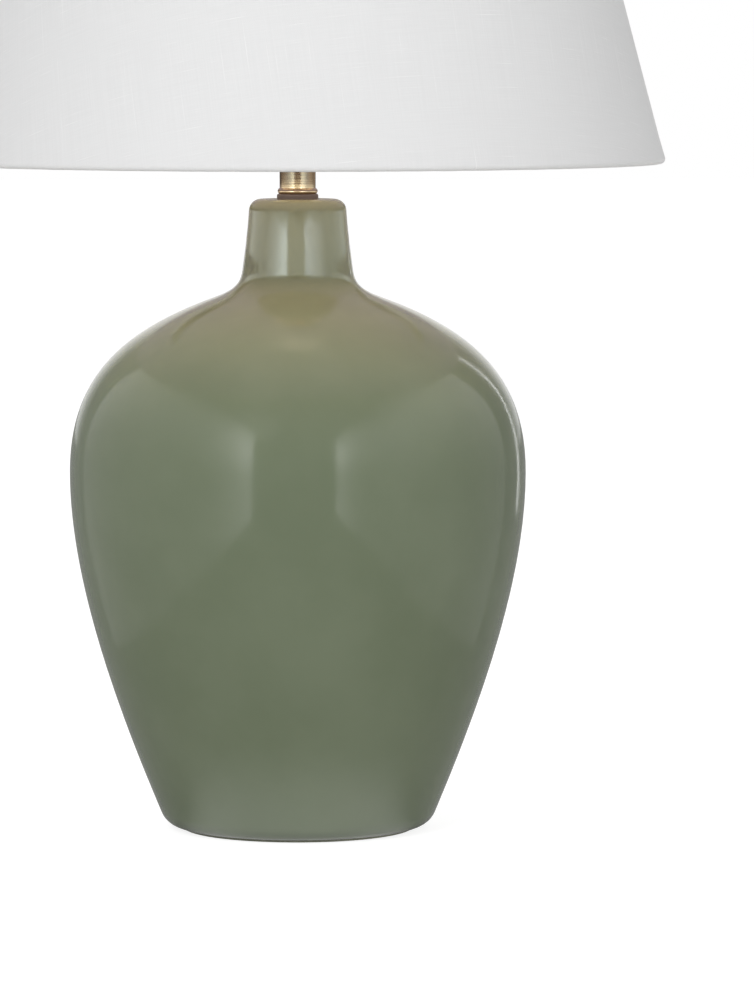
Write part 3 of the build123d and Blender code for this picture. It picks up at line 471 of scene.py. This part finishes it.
def hem_rows(end, sign):
    """The rows of a hem, from the face to the cut edge: sign is -1 at the shade's foot, 1 at its head."""
    middle = shade_point(end, -HEM_RADIUS)
    turn = HEM_WRAP * (HEM_RADIUS - CLOTH_THICKNESS / 2)
    rows = []
    for step in range(1, HEM_ROWS + 1):
        share = step / HEM_ROWS
        angle = SHADE_LEAN + sign * share * HEM_WRAP
        way = (cos(angle), sin(angle))
        spot = (middle[0] + HEM_RADIUS * way[0], middle[1] + HEM_RADIUS * way[1])
        rows.append((spot, way, end + sign * share * turn, 1.0))
    return rows


def cloth_line():
    """The cloth's section: for each row its place, its outward way, its length so far and its swell."""
    way = (cos(SHADE_LEAN), sin(SHADE_LEAN))
    face = []
    for step in range(FACE_ROWS + 1):
        along = HEM_RADIUS + step / FACE_ROWS * (SHADE_SLANT - 2 * HEM_RADIUS)
        near = min(along, SHADE_SLANT - along) - HEM_RADIUS
        face.append((shade_point(along, 0), way, along, 1 - smooth_step(near, 0, HEM_FADE)))
    return hem_rows(HEM_RADIUS, -1)[::-1] + face + hem_rows(SHADE_SLANT - HEM_RADIUS, 1)


def by_a_spoke(heading, radius):
    """Whether a point of the cloth is in the notch of a spoke."""
    return any(abs(wrap(heading - radians(spoke))) * radius < NOTCH for spoke in SPOKE_HEADINGS)


def bend_cloth(mesh, rows):
    """Bends a flat grid to the shade. Gives each vertex's place on the flat cut, and those in a notch."""
    flat, notched = [], set()
    for vertex in mesh.vertices:
        round_share = (vertex.co.x + 1) / 2
        row = round((vertex.co.y + 1) / 2 * (len(rows) - 1))
        (radius, height), way, along, swell = rows[row]
        lap = LAP_WIDTH / radius
        heading = LAP_START - lap / 2 + round_share * (tau + lap)
        past = (heading - LAP_START - tau) * radius + LAP_WIDTH / 2
        over = smooth_step(past, -LAP_RAMP, 0) * (CLOTH_THICKNESS + LAP_GAP)
        spot = Vector((heading * CRUMPLE_SCALE[0], along * CRUMPLE_SCALE[1], 0))
        out = swell * (HEM_SWELL + uneven.noise(spot) * HEM_CRUMPLE) + over
        reach = radius + out * way[0]
        vertex.co = (reach * cos(heading), reach * sin(heading), height + out * way[1])
        fan = (heading - STRAIGHT_GRAIN) * CONE_SHARE
        flat.append(((CONE_SLANT - along) * sin(fan), (CONE_SLANT - along) * cos(fan)))
        if row > len(rows) - HEM_ROWS * NOTCH_SHARE and by_a_spoke(heading, radius):
            notched.add(vertex.index)
    return flat, notched


def map_the_cut(mesh, flat):
    """Keeps the flat cut as the mesh's only UV map."""
    for layer in list(mesh.uv_layers):
        mesh.uv_layers.remove(layer)
    cut = mesh.uv_layers.new(name="cut")
    for loop in mesh.loops:
        cut.data[loop.index].uv = flat[loop.vertex_index]


def cut_notches(mesh, notched):
    """Deletes the active piece's faces that lie in a notch."""
    for vertex in mesh.vertices:
        vertex.select = False
    for edge in mesh.edges:
        edge.select = False
    for face in mesh.polygons:
        face.select = all(index in notched for index in face.vertices)
        face.use_smooth = True
    bpy.ops.object.mode_set(mode="EDIT")
    bpy.ops.mesh.select_mode(type="FACE")
    bpy.ops.mesh.delete(type="FACE")
    bpy.ops.object.mode_set(mode="OBJECT")


def shade_cloth():
    """The shade's cloth, cut flat, bent round, lapped at the rear and turned over both rings."""
    rows = cloth_line()
    bpy.ops.object.select_all(action="DESELECT")
    bpy.ops.mesh.primitive_grid_add(x_subdivisions=CLOTH_COLUMNS, y_subdivisions=len(rows) - 1, size=2)
    piece = bpy.context.object
    piece.name = "shade_cloth"
    flat, notched = bend_cloth(piece.data, rows)
    map_the_cut(piece.data, flat)
    cut_notches(piece.data, notched)
    use_modifier(piece, "SOLIDIFY", thickness=CLOTH_THICKNESS, offset=-1, use_even_offset=True)
    finish_piece(piece, "shade", "shade_cloth", linen(), "shade_fabric")


def felt_disc():
    """The felt under the foot, with a soft cut edge."""
    bpy.ops.object.select_all(action="DESELECT")
    bpy.ops.mesh.primitive_cylinder_add(
        vertices=FELT_SIDES, radius=FELT_RADIUS, depth=FELT_THICKNESS, location=(0, 0, FELT_THICKNESS / 2)
    )
    piece = bpy.context.object
    piece.name = "felt_disc"
    bpy.ops.object.transform_apply(location=True, rotation=True, scale=True)
    bpy.ops.object.mode_set(mode="EDIT")
    bpy.ops.mesh.select_mode(type="FACE")
    bpy.ops.mesh.select_all(action="SELECT")
    bpy.ops.mesh.bevel(offset=FELT_BEVEL, segments=3, affect="EDGES", clamp_overlap=True)
    bpy.ops.object.mode_set(mode="OBJECT")
    for vertex in piece.data.vertices:
        rim = smooth_step(hypot(vertex.co.x, vertex.co.y), FELT_RADIUS - FELT_SOFT_EDGE, FELT_RADIUS)
        frayed = uneven.noise(vertex.co * FRAY_SCALE) * FELT_FRAY * rim
        vertex.co.x *= 1 - abs(frayed) / FELT_RADIUS
        vertex.co.y *= 1 - abs(frayed) / FELT_RADIUS
    bpy.ops.object.shade_smooth_by_angle(angle=radians(50))
    finish_piece(piece, "base", "felt", felt(), "felt_pad")


def drawn_line(name, points):
    """A line through points of the XZ plane, drawn by extruding one point."""
    bpy.ops.object.select_all(action="DESELECT")
    bpy.ops.mesh.primitive_plane_add(size=1)
    piece = bpy.context.object
    piece.name = name
    bpy.ops.object.mode_set(mode="EDIT")
    bpy.ops.mesh.select_mode(type="VERT")
    bpy.ops.mesh.select_all(action="SELECT")
    bpy.ops.mesh.merge(type="CENTER")
    bpy.ops.transform.translate(value=(points[0][0], 0, points[0][1]))
    for (x, z), (next_x, next_z) in zip(points, points[1:]):
        bpy.ops.mesh.extrude_vertices_move()
        bpy.ops.transform.translate(value=(next_x - x, 0, next_z - z))
    bpy.ops.object.mode_set(mode="OBJECT")
    return piece


def threaded_wall(name, crest, depth, heights, wall):
    """A rolled screw thread, cut level at both heights."""
    low, high = heights
    points = []
    for step in range(RIDGE_STEPS + 1):
        dip = depth * (0.5 - 0.5 * cos(tau * step / RIDGE_STEPS))
        points.append((crest - dip, low - SCREW_PITCH + SCREW_PITCH * step / RIDGE_STEPS))
    piece = drawn_line(name, points)
    turns = ceil((high - low) / SCREW_PITCH) + 2  # one to spare at each end
    use_modifier(
        piece, "SCREW", axis="Z", angle=tau, screw_offset=SCREW_PITCH, iterations=turns, steps=TURN_STEPS,
        render_steps=TURN_STEPS, use_merge_vertices=True, use_smooth_shade=True,
    )
    bpy.ops.object.mode_set(mode="EDIT")
    bpy.ops.mesh.select_all(action="SELECT")
    bpy.ops.mesh.remove_doubles(threshold=WELD_DISTANCE)
    bpy.ops.mesh.bisect(plane_co=(0, 0, low), plane_no=(0, 0, 1), clear_inner=True)
    bpy.ops.mesh.select_all(action="SELECT")
    bpy.ops.mesh.bisect(plane_co=(0, 0, high), plane_no=(0, 0, 1), clear_outer=True)
    bpy.ops.mesh.select_all(action="SELECT")
    bpy.ops.mesh.normals_make_consistent(inside=False)
    bpy.ops.object.mode_set(mode="OBJECT")
    use_modifier(piece, "SOLIDIFY", thickness=wall, offset=-1)
    return piece


def screw_threads(cap_metal, cup_metal):
    """The bulb's screw cap, and the cup in the socket that takes it."""
    cap = threaded_wall("bulb_screw_cap", CAP_CREST, CAP_DEPTH, CAP_HEIGHTS, CAP_WALL)
    finish_piece(cap, "bulb", "bulb_cap", cap_metal, "bulb_base")
    cup = threaded_wall("socket_screw_cup", CUP_CREST, CUP_DEPTH, CUP_HEIGHTS, CUP_WALL)
    height = CUP_HEIGHTS[0] + CUP_FLOOR_RISE
    bottom = drawn_line("cup_floor", [(CUP_HOLE, height), (CUP_CREST - CUP_FLOOR_INSET, height)])
    use_modifier(
        bottom, "SCREW", axis="Z", angle=tau, steps=TURN_STEPS, render_steps=TURN_STEPS,
        use_merge_vertices=True,
    )
    use_modifier(bottom, "SOLIDIFY", thickness=CUP_FLOOR, offset=0)
    bpy.ops.object.select_all(action="DESELECT")
    bottom.select_set(True)
    cup.select_set(True)
    bpy.context.view_layer.objects.active = cup
    bpy.ops.object.join()
    finish_piece(cup, "base", "socket_brass", cup_metal, "screw_shell")


# Studio


def glowing(name, level, colour=(1, 1, 1, 1)):
    """A light's material. Its strength and its colour are each a value or a function of its node tree."""
    material, tree, output = empty_material(name)
    glow = add(tree, "Emission")
    for socket, source in (("Strength", level), ("Color", colour)):
        feed(tree, glow.inputs[socket], source(tree) if callable(source) else source)
    tree.links.new(glow.outputs["Emission"], output.inputs["Surface"])
    return material


def only_in_gloss(piece):
    """A studio piece that glaze and metal show, and that neither the camera nor a dull surface meets."""
    piece.visible_camera = False
    piece.visible_diffuse = False
    piece.visible_shadow = False


def upright_board(name, x, ends, high):
    """A board across X, from one end to the other along Y."""
    bpy.ops.object.select_all(action="DESELECT")
    middle = (x, sum(ends) / 2, (BOARD_FOOT + high) / 2)
    bpy.ops.mesh.primitive_plane_add(size=1, location=middle, rotation=(0, radians(90), 0))
    piece = bpy.context.object
    piece.name = name
    piece.scale = (high - BOARD_FOOT, ends[1] - ends[0], 1)
    bpy.ops.object.transform_apply(location=True, rotation=True, scale=True)
    only_in_gloss(piece)
    return piece


def bright_board(name, side, ends):
    """A board beside the lamp, brightest near its front edge and above its middle."""
    piece = upright_board(name, side * BOARD_OFFSET, ends, BOARD_HEIGHT)

    def level(tree):
        split = add(tree, "SeparateXYZ", Vector=place(tree))
        length, left_over = BOARD_FADE
        fade = spread(tree, split.outputs["Y"], ends[0], ends[0] + length, 1.0, left_over)
        rise = spread(tree, split.outputs["Z"], *BOARD_RISE)
        top = spread(tree, split.outputs["Z"], *BOARD_TOP)
        upright = calculate(tree, "MULTIPLY", rise, top)
        return calculate(tree, "MULTIPLY", calculate(tree, "MULTIPLY", fade, upright), BOARD_LIGHT)

    piece.data.materials.append(glowing(name, level))


def rim_strip():
    """The light that draws a thin bright line down the right of the jar."""
    x, y = RIM_STRIP
    ends = (y - RIM_STRIP_WIDTH / 2, y + RIM_STRIP_WIDTH / 2)
    piece = upright_board("rim_strip", x, ends, RIM_STRIP_HEIGHT)
    piece.data.materials.append(glowing("rim_strip", RIM_STRIP_LIGHT))


def ring_card(name, inner, outer, low, high):
    """A flat or upright ring round the lamp, from one radius and height to the other."""
    bpy.ops.object.select_all(action="DESELECT")
    bpy.ops.mesh.primitive_circle_add(vertices=RING_SIDES, radius=inner, location=(0, 0, low))
    piece = bpy.context.object
    piece.name = name
    bpy.ops.object.mode_set(mode="EDIT")
    bpy.ops.mesh.select_all(action="SELECT")
    bpy.ops.mesh.extrude_edges_move()
    bpy.ops.transform.resize(value=(outer / inner, outer / inner, 1), center_override=(0, 0, 0))
    bpy.ops.transform.translate(value=(0, 0, high - low))
    bpy.ops.object.mode_set(mode="OBJECT")
    bpy.ops.object.transform_apply(location=True, rotation=True, scale=True)
    only_in_gloss(piece)
    return piece


def floor_card():
    """A glowing ring that the lower glaze shows in place of the floor: painted shadow at the foot, then
    white in front, dim further out.
    """
    piece = ring_card("floor_card", FLOOR_CARD[0], FLOOR_RADIUS, FLOOR_CARD_HEIGHT, FLOOR_CARD_HEIGHT)

    def level(tree):
        spot = place(tree)
        away = add(tree, "VectorMath", {"operation": "LENGTH"}, Vector=spot).outputs["Value"]
        front = calculate(tree, "DIVIDE", add(tree, "SeparateXYZ", Vector=spot).outputs["Y"], away)
        in_front = spread(tree, front, *FLOOR_CARD_FRONT)
        share = calculate(tree, "MULTIPLY", in_front, spread(tree, away, *FLOOR_CARD[1:], 1, 0))
        white = calculate(tree, "MULTIPLY", share, FLOOR_CARD_LIGHT - WORLD_GLOSS)
        lit = calculate(tree, "ADD", white, WORLD_GLOSS)
        shadow = spread(tree, away, *FLOOR_CARD[:2], FLOOR_CARD_SHADOW, 1.0)
        return calculate(tree, "MULTIPLY", lit, shadow)

    piece.data.materials.append(glowing("floor_card", level))


def toned_card(name, radius, low, high, strength, *stops):
    """An upright ring whose light changes round the lamp: stops are (degrees from the front, colour)."""
    piece = ring_card(name, radius, radius, low, high)

    def colour(tree):
        split = add(tree, "SeparateXYZ", Vector=place(tree))
        back = calculate(tree, "MULTIPLY", split.outputs["Y"], -1.0)
        heading = calculate(tree, "ARCTAN2", split.outputs["X"], back)
        share = calculate(tree, "ADD", calculate(tree, "DIVIDE", heading, tau), 0.5)
        return tones(tree, share, *((degrees_round / 360 + 0.5, tint) for degrees_round, tint in stops))

    piece.data.materials.append(glowing(name, strength, colour))


def neck_cards():
    """Light for the neck and the brass above it, and even glowing rings that the shoulder reflects in place
    of the shade's underside: a painted reflection.
    """
    even, warm = (0.07, 0.067, 0.065), (0.28, 0.29, 0.25)
    left, right = (0.24, 0.25, 0.24), (0.18, 0.20, 0.20)
    pane, soft_pane = (0.90, 1.0, 1.0), (0.46, 0.50, 0.50)
    toned_card(
        "neck_card", *NECK_CARD, NECK_LIGHT,
        (-180, even), (-128, even), (-112, left), (-66, left), (-45, soft_pane), (-29, pane), (-22, pane),
        (-18.5, warm), (12, warm), (15.5, (0.62, 0.68, 0.70)), (21, (0.66, 0.72, 0.74)), (36, soft_pane),
        (58, right), (112, right), (128, even), (180, even),
    )
    toned_card(
        "lip_card", *LIP_CARD, LIP_LIGHT,
        (-180, even), (-128, even), (-112, left), (-20, warm),
        (12, warm), (112, right), (128, even), (180, even),
    )
    edge, brown, middle = (0.037, 0.033, 0.033), (0.17, 0.15, 0.14), (0.14, 0.115, 0.10)
    beige, tan, light = (0.24, 0.235, 0.225), (0.33, 0.31, 0.29), (0.31, 0.36, 0.42)
    bright, peak = (0.52, 0.65, 0.74), (0.72, 0.89, 1.0)
    toned_card(
        "brass_card", *BRASS_CARD, BRASS_LIGHT,
        (-180, tan), (-158, tan), (-146, edge), (-138, edge), (-122, brown), (-95, beige), (-64, light),
        (-44, bright), (-36, peak), (-27, peak), (-15, middle), (14, middle), (19, beige), (25, peak),
        (33, peak), (46, bright), (60, light), (90, tan), (106, beige), (120, brown), (134, tan),
        (146, edge), (158, tan), (180, tan),
    )
    for number, ring in enumerate(SHOULDER_CARDS):
        piece = ring_card(f"shoulder_card_{number}", *ring)
        piece.data.materials.append(glowing(piece.name, 1.0, SHOULDER_CARD_COLOUR))


def background_rays(tree):
    """1 on rays that show the surroundings: to the camera, in gloss and through glass."""
    path = add(tree, "LightPath")
    first = calculate(tree, "MAXIMUM", path.outputs["Is Camera Ray"], path.outputs["Is Glossy Ray"])
    return calculate(tree, "MAXIMUM", first, path.outputs["Is Transmission Ray"])


def joined(tree, kind, *sources):
    """The shader that a node makes of its sources, fed in their order."""
    node = add(tree, kind)
    for socket, source in zip(node.inputs, sources):
        tree.links.new(source, socket)
    return node.outputs[0]


def floor():
    """The pale floor, which keeps the lamp's shadow and is clear when seen from below."""
    bpy.ops.object.select_all(action="DESELECT")
    bpy.ops.mesh.primitive_circle_add(vertices=RING_SIDES, radius=FLOOR_RADIUS, fill_type="NGON")
    piece = bpy.context.object
    piece.name = "floor"
    material, tree, output = empty_material("pale_floor")
    dull = add(tree, "BsdfDiffuse", Color=FLOOR_COLOUR).outputs[0]
    shadowed = add(tree, "BsdfDiffuse", Color=(FLOOR_SHADE, FLOOR_SHADE, FLOOR_SHADE, 1)).outputs[0]
    glow = add(tree, "Emission", Strength=FLOOR_GLOW).outputs[0]
    white = joined(tree, "AddShader", shadowed, glow)
    above = joined(tree, "MixShader", background_rays(tree), dull, white)
    clear = add(tree, "BsdfTransparent").outputs[0]
    from_below = add(tree, "NewGeometry").outputs["Backfacing"]
    tree.links.new(joined(tree, "MixShader", from_below, above, clear), output.inputs["Surface"])
    piece.data.materials.append(material)


def surroundings():
    """White to the camera, white behind the lamp and dim elsewhere in gloss, even on dull surfaces."""
    world = bpy.data.worlds.new("surroundings")
    bpy.context.scene.world = world
    world.use_nodes = True
    tree = world.node_tree
    tree.nodes.clear()
    output = add(tree, "OutputWorld")
    background = add(tree, "Background", Color=(1, 1, 1, 1))
    path = add(tree, "LightPath")
    way = add(tree, "SeparateXYZ", Vector=add(tree, "TexCoord").outputs["Generated"])
    gloss = spread(tree, way.outputs["Y"], *WHITE_BEHIND, WORLD_GLOSS, 1.0)
    gloss_share = calculate(tree, "MULTIPLY", gloss, path.outputs["Is Glossy Ray"])
    shown = calculate(tree, "MAXIMUM", path.outputs["Is Camera Ray"], path.outputs["Is Transmission Ray"])
    dull = calculate(tree, "SUBTRACT", 1.0, background_rays(tree))
    dull_share = calculate(tree, "MULTIPLY", dull, WORLD_LIGHT)
    level = calculate(tree, "ADD", calculate(tree, "MAXIMUM", shown, gloss_share), dull_share)
    tree.links.new(level, background.inputs["Strength"])
    tree.links.new(background.outputs[0], output.inputs["Surface"])


def soft_light(name, where, size, power):
    """A square light that faces the lamp and lights dull surfaces only."""
    bpy.ops.object.light_add(type="AREA", location=where)
    light = bpy.context.object
    light.name = name
    light.data.size = size
    light.data.energy = power
    light.rotation_euler = (LIGHT_TARGET - where).to_track_quat("-Z", "Y").to_euler()
    light.visible_glossy = False


def bulb_light():
    """A little warm light from the bulb, on the shade's lining and the jar's shoulder."""
    bpy.ops.object.light_add(type="POINT", location=LAMP_PLACE)
    light = bpy.context.object
    light.name = "bulb_light"
    light.data.energy = LAMP_POWER
    light.data.color = LAMP_COLOUR
    light.data.shadow_soft_size = LAMP_RADIUS
    nodes["bulb_globe"].visible_shadow = False


def shade_glow():
    """Warm light on the shoulder and the neck, as from the lining above them."""
    bpy.ops.object.light_add(type="AREA", location=SHADE_GLOW_PLACE)
    light = bpy.context.object
    light.name = "shade_glow"
    light.data.shape = "DISK"
    light.data.size = SHADE_GLOW_SIZE
    light.data.energy = SHADE_GLOW_POWER
    light.data.color = SHADE_GLOW_COLOUR
    light.visible_glossy = False


def camera():
    """The camera of the picture."""
    data = bpy.data.cameras.new("camera")
    data.sensor_width = SENSOR
    data.lens = LENS
    data.clip_end = CLIP_END
    eye = bpy.data.objects.new("camera", data)
    bpy.context.scene.collection.objects.link(eye)
    eye.location = CAMERA_PLACE
    eye.rotation_euler = (CAMERA_TARGET - CAMERA_PLACE).to_track_quat("-Z", "Y").to_euler()
    bpy.context.scene.camera = eye


bpy.context.scene.view_settings.view_transform = "Standard"
camera()
floor()
floor_card()
surroundings()
bright_board("left_board", -1, LEFT_BOARD)
bright_board("right_board", 1, RIGHT_BOARD)
rim_strip()
neck_cards()
soft_light("key_light", *KEY_LIGHT)
soft_light("fill_light", *FILL_LIGHT)
soft_light("rear_light", *REAR_LIGHT)
bulb_light()
shade_glow()
paint_the_frame()
shade_cloth()
felt_disc()
screw_threads(bpy.data.materials["bulb_aluminium"], bpy.data.materials["socket_brass"])
